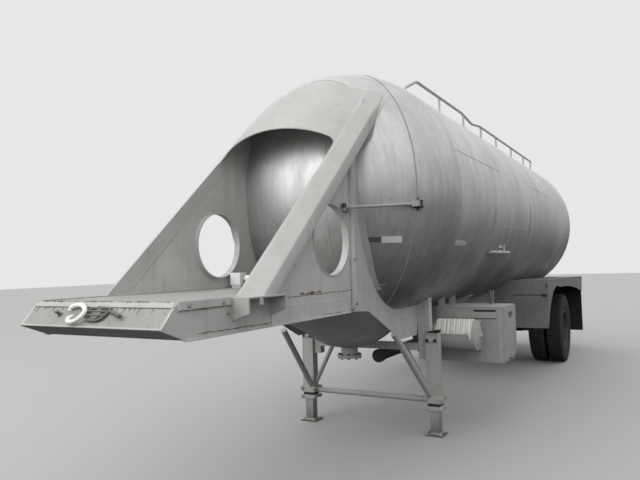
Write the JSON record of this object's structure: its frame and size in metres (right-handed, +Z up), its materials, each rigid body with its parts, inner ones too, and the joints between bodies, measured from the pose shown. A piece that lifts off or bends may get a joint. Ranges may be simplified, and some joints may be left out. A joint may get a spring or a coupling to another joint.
{
  "type": "silo semi-trailer",
  "caption": "Level pressure tank trailer for dry bulk on a plated gooseneck with kingpin, landing legs, hoppers below, one axle with twin wheels, tool box and top walkway.",
  "frame": {"origin": "on the ground under the middle of the trailer, standing level on its legs and wheels", "axes": "+X forward towards the gooseneck, +Y to the left side, +Z up"},
  "size_m": [10.1, 2.5, 3.5264],
  "materials": {
    "tank_paint": "dull weathered pale grey paint",
    "frame_paint": "weathered pale grey paint",
    "box_paint": "faded mid grey paint",
    "bare_steel": "worn greasy steel",
    "dark_steel": "dirty dark running gear",
    "grating": "galvanised grating",
    "rubber": "matt black rubber",
    "tyre": "matt black rubber",
    "rim_paint": "dusty grey paint",
    "cover_cloth": "white quilted cloth",
    "lamp_white": "white lamp body",
    "lamp_red": "red lamp glass"
  },
  "bodies": {
    "chassis": {"axle": "dark_steel", "box_hangers": "frame_paint", "conduits": "frame_paint", "coupling_plate": "bare_steel", "cross_members": "frame_paint", "deck_lamp": "lamp_white", "deck_plate": "frame_paint", "discharge_pipe": "dark_steel", "edge_angles": "frame_paint", "foot_brackets": "frame_paint", "guard_fronts": "box_paint", "guard_roofs": "box_paint", "guard_skirts": "box_paint", "hood_plate": "tank_paint", "hopper_front": "tank_paint", "hoppers_rear": "tank_paint", "kingpin": "bare_steel", "ladder": "frame_paint", "ladder_rungs": "frame_paint", "leg_braces": "frame_paint", "leg_feet": "bare_steel", "leg_hangers": "frame_paint", "leg_housings": "frame_paint", "manhole_necks": "tank_paint", "mudflaps": "rubber", "nose_fittings": "bare_steel", "nose_plate": "frame_paint", "pillars": "frame_paint", "rail_posts": "frame_paint", "rear_bumper": "frame_paint", "rear_lamps": "lamp_red", "rear_members": "frame_paint", "rear_rails": "frame_paint", "reservoir": "box_paint", "reservoir_cover": "cover_cloth", "side_plate_left": "frame_paint", "side_plate_right": "frame_paint", "spring_hangers": "dark_steel", "springs": "dark_steel", "tank_barrel": "tank_paint", "tank_head_front": "tank_paint", "tank_head_rear": "tank_paint", "tie_rod": "frame_paint", "toolbox": "box_paint", "top_rails": "frame_paint", "vent_pipe": "frame_paint", "walkway": "grating"},
    "wheels_left": {"tyre_left_outer": "tyre", "tyre_left_inner": "tyre", "rims_left": "rim_paint"},
    "wheels_right": {"tyre_right_outer": "tyre", "tyre_right_inner": "tyre", "rims_right": "rim_paint"},
    "box_door": {"toolbox_door": "box_paint"},
    "lid_front": {"manhole_lid_front": "tank_paint"},
    "lid_middle": {"manhole_lid_middle": "tank_paint"},
    "lid_rear": {"manhole_lid_rear": "tank_paint"}
  },
  "joints": [
    {"name": "wheels_left_spin", "type": "hinge", "parent": "chassis", "child": "wheels_left", "pos_m": [-3.04, 0.965, 0.526], "axis": [0, 1, 0], "continuous": true},
    {"name": "wheels_right_spin", "type": "hinge", "parent": "chassis", "child": "wheels_right", "pos_m": [-3.04, -0.965, 0.526], "axis": [0, 1, 0], "continuous": true},
    {"name": "box_door_hinge", "type": "hinge", "parent": "chassis", "child": "box_door", "pos_m": [0.97, 1.229, 0.634], "axis": [-1, 0, 0], "range_deg": [0, 100]},
    {"name": "lid_front_hinge", "type": "hinge", "parent": "chassis", "child": "lid_front", "pos_m": [0.721, 0, 3.486], "axis": [0, -1, 0], "range_deg": [0, 110]},
    {"name": "lid_middle_hinge", "type": "hinge", "parent": "chassis", "child": "lid_middle", "pos_m": [-1.559, 0, 3.486], "axis": [0, -1, 0], "range_deg": [0, 110]},
    {"name": "lid_rear_hinge", "type": "hinge", "parent": "chassis", "child": "lid_rear", "pos_m": [-3.809, 0, 3.486], "axis": [0, -1, 0], "range_deg": [0, 110]}
  ]
}
